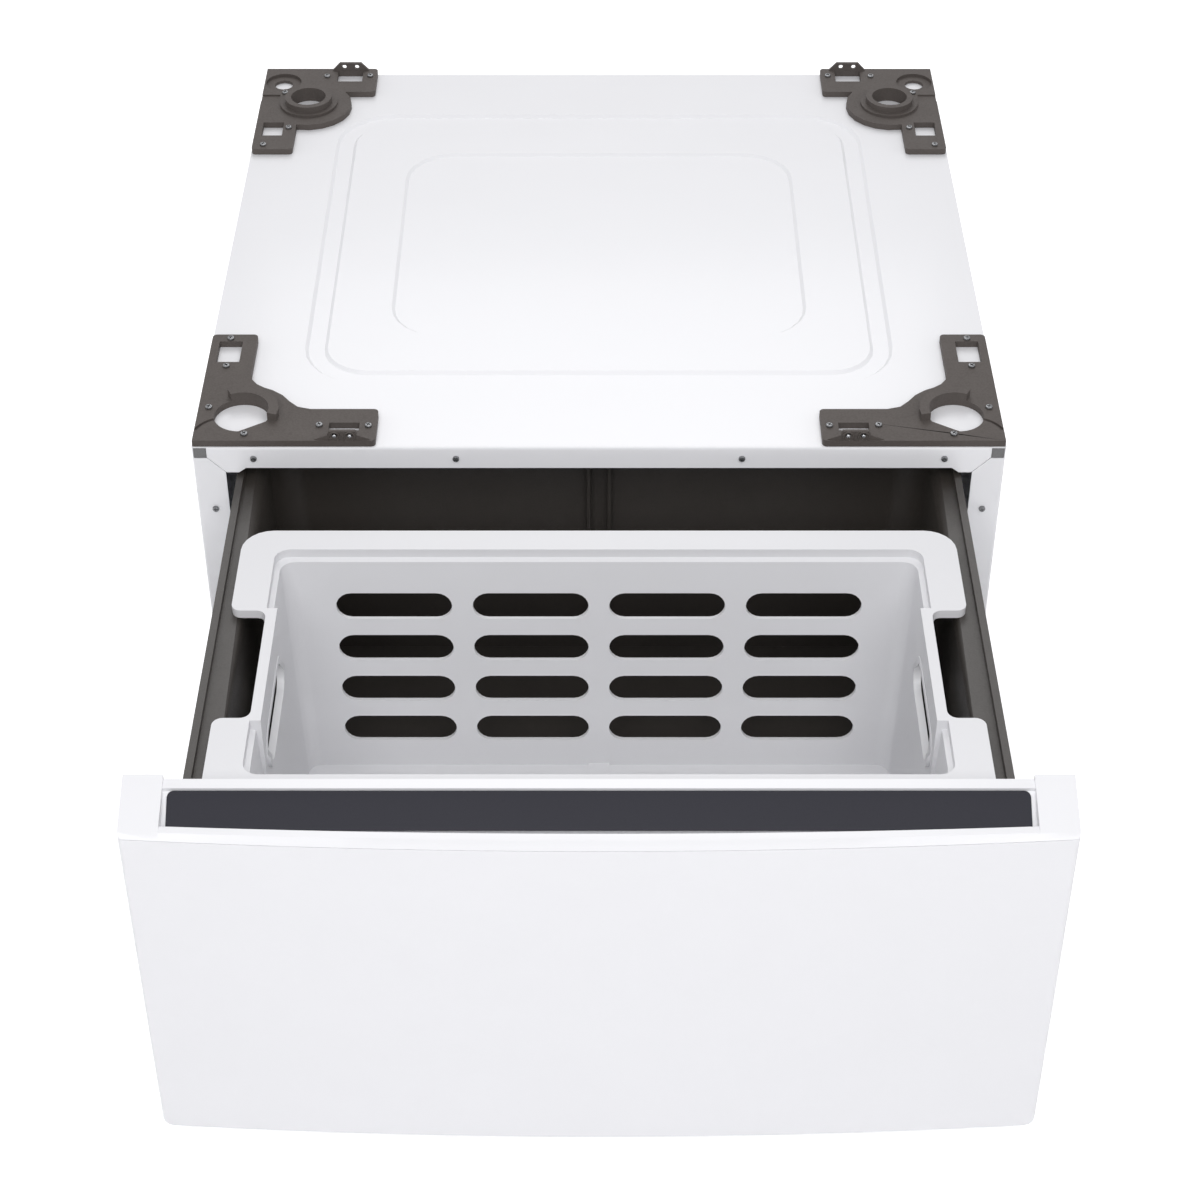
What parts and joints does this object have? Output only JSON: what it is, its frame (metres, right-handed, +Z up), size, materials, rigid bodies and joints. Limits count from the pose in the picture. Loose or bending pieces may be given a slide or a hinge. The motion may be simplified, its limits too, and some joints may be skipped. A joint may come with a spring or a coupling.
{
  "type": "washer pedestal drawer",
  "caption": "Low steel pedestal that carries a laundry machine: bowed full-width drawer on ball slides, moulded tub, slotted lift-out basket and corner brackets for the machine's feet.",
  "frame": {"origin": "on the floor, under the middle of the whole object with its drawer open", "axes": "+Z up, +X to the right seen from the front, +Y to the back; the drawer opens towards -Y"},
  "size_m": [0.686, 1.118, 0.3698],
  "materials": {
    "white_paint": "semi-gloss white baked enamel",
    "cap_plastic": "satin white moulding",
    "basket_plastic": "satin white moulding",
    "tub_plastic": "dark grey-brown moulding, lightly grained",
    "bracket_plastic": "dark grey moulding, lightly grained",
    "plug_plastic": "mid grey moulding",
    "strip_gloss": "polished near-black",
    "zinc_steel": "zinc-plated sheet",
    "zinc_hardware": "zinc-plated",
    "bearing_steel": "bright steel",
    "rubber": "matt black"
  },
  "bodies": {
    "cabinet": {"back_panel": "white_paint", "front_base_rail": "zinc_steel", "front_deck_brace": "zinc_steel", "left_corner_plug": "plug_plastic", "left_front_bracket_screw": "zinc_hardware", "left_front_corner_bracket": "bracket_plastic", "left_front_lock_nut": "zinc_hardware", "left_inner_flange_screw": "zinc_hardware", "left_outer_flange_screw": "zinc_hardware", "left_rear_bracket_screw": "zinc_hardware", "left_rear_corner_bracket": "bracket_plastic", "left_rear_lock_nut": "zinc_hardware", "left_side_flange_screw": "zinc_hardware", "left_side_panel": "white_paint", "left_slide_bracket": "zinc_steel", "left_slide_fixed_member": "zinc_steel", "rear_base_rail": "zinc_steel", "rear_deck_brace": "zinc_steel", "right_corner_plug": "plug_plastic", "right_front_bracket_screw": "zinc_hardware", "right_front_corner_bracket": "bracket_plastic", "right_front_lock_nut": "zinc_hardware", "right_inner_flange_screw": "zinc_hardware", "right_outer_flange_screw": "zinc_hardware", "right_rear_bracket_screw": "zinc_hardware", "right_rear_corner_bracket": "bracket_plastic", "right_rear_lock_nut": "zinc_hardware", "right_side_flange_screw": "zinc_hardware", "right_side_panel": "white_paint", "right_slide_bracket": "zinc_steel", "right_slide_fixed_member": "zinc_steel", "top_panel": "white_paint"},
    "drawer": {"front_cap": "cap_plastic", "front_skin": "white_paint", "handle_strip": "strip_gloss", "inner_front": "zinc_steel", "left_lower_bumper": "rubber", "left_lower_tub_screw": "zinc_hardware", "left_slide_drawer_member": "zinc_steel", "left_tub_rail": "zinc_steel", "left_upper_bumper": "rubber", "left_upper_tub_screw": "zinc_hardware", "right_lower_bumper": "rubber", "right_lower_tub_screw": "zinc_hardware", "right_slide_drawer_member": "zinc_steel", "right_tub_rail": "zinc_steel", "right_upper_bumper": "rubber", "right_upper_tub_screw": "zinc_hardware", "tub": "tub_plastic"},
    "basket": {"basket": "basket_plastic"},
    "left_front_foot": {"left_front_foot": "rubber"},
    "left_inner_ball_cage": {"left_inner_ball_cage": "bearing_steel"},
    "left_outer_ball_cage": {"left_outer_ball_cage": "bearing_steel"},
    "left_rear_foot": {"left_rear_foot": "rubber"},
    "left_slide_middle_member": {"left_slide_middle_member": "zinc_steel"},
    "right_front_foot": {"right_front_foot": "rubber"},
    "right_inner_ball_cage": {"right_inner_ball_cage": "bearing_steel"},
    "right_outer_ball_cage": {"right_outer_ball_cage": "bearing_steel"},
    "right_rear_foot": {"right_rear_foot": "rubber"},
    "right_slide_middle_member": {"right_slide_middle_member": "zinc_steel"}
  },
  "joints": [
    {"name": "drawer_slide", "type": "slide", "parent": "cabinet", "child": "drawer", "axis": [0, -1, 0], "range_m": [-0.403, 0]},
    {"name": "right_slide_middle_member_run", "type": "slide", "parent": "cabinet", "child": "right_slide_middle_member", "axis": [0, -1, 0], "range_m": [-0.2015, 0]},
    {"name": "right_outer_ball_cage_run", "type": "slide", "parent": "cabinet", "child": "right_outer_ball_cage", "axis": [0, -1, 0], "range_m": [-0.10075, 0]},
    {"name": "right_inner_ball_cage_run", "type": "slide", "parent": "cabinet", "child": "right_inner_ball_cage", "axis": [0, -1, 0], "range_m": [-0.30225, 0]},
    {"name": "left_slide_middle_member_run", "type": "slide", "parent": "cabinet", "child": "left_slide_middle_member", "axis": [0, -1, 0], "range_m": [-0.2015, 0]},
    {"name": "left_outer_ball_cage_run", "type": "slide", "parent": "cabinet", "child": "left_outer_ball_cage", "axis": [0, -1, 0], "range_m": [-0.10075, 0]},
    {"name": "left_inner_ball_cage_run", "type": "slide", "parent": "cabinet", "child": "left_inner_ball_cage", "axis": [0, -1, 0], "range_m": [-0.30225, 0]},
    {"name": "basket_lift", "type": "slide", "parent": "drawer", "child": "basket", "axis": [0, 0, 1], "range_m": [0, 0.28]},
    {"name": "right_front_foot_thread", "type": "slide", "parent": "cabinet", "child": "right_front_foot", "axis": [0, 0, -1], "range_m": [0, 0.02]},
    {"name": "left_front_foot_thread", "type": "slide", "parent": "cabinet", "child": "left_front_foot", "axis": [0, 0, -1], "range_m": [0, 0.02]},
    {"name": "right_rear_foot_thread", "type": "slide", "parent": "cabinet", "child": "right_rear_foot", "axis": [0, 0, -1], "range_m": [0, 0.02]},
    {"name": "left_rear_foot_thread", "type": "slide", "parent": "cabinet", "child": "left_rear_foot", "axis": [0, 0, -1], "range_m": [0, 0.02]}
  ],
  "couplings": [
    {"joint": "right_slide_middle_member_run", "follows": "drawer_slide", "ratio": 0.5},
    {"joint": "right_outer_ball_cage_run", "follows": "drawer_slide", "ratio": 0.25},
    {"joint": "right_inner_ball_cage_run", "follows": "drawer_slide", "ratio": 0.75},
    {"joint": "left_slide_middle_member_run", "follows": "drawer_slide", "ratio": 0.5},
    {"joint": "left_outer_ball_cage_run", "follows": "drawer_slide", "ratio": 0.25},
    {"joint": "left_inner_ball_cage_run", "follows": "drawer_slide", "ratio": 0.75}
  ]
}
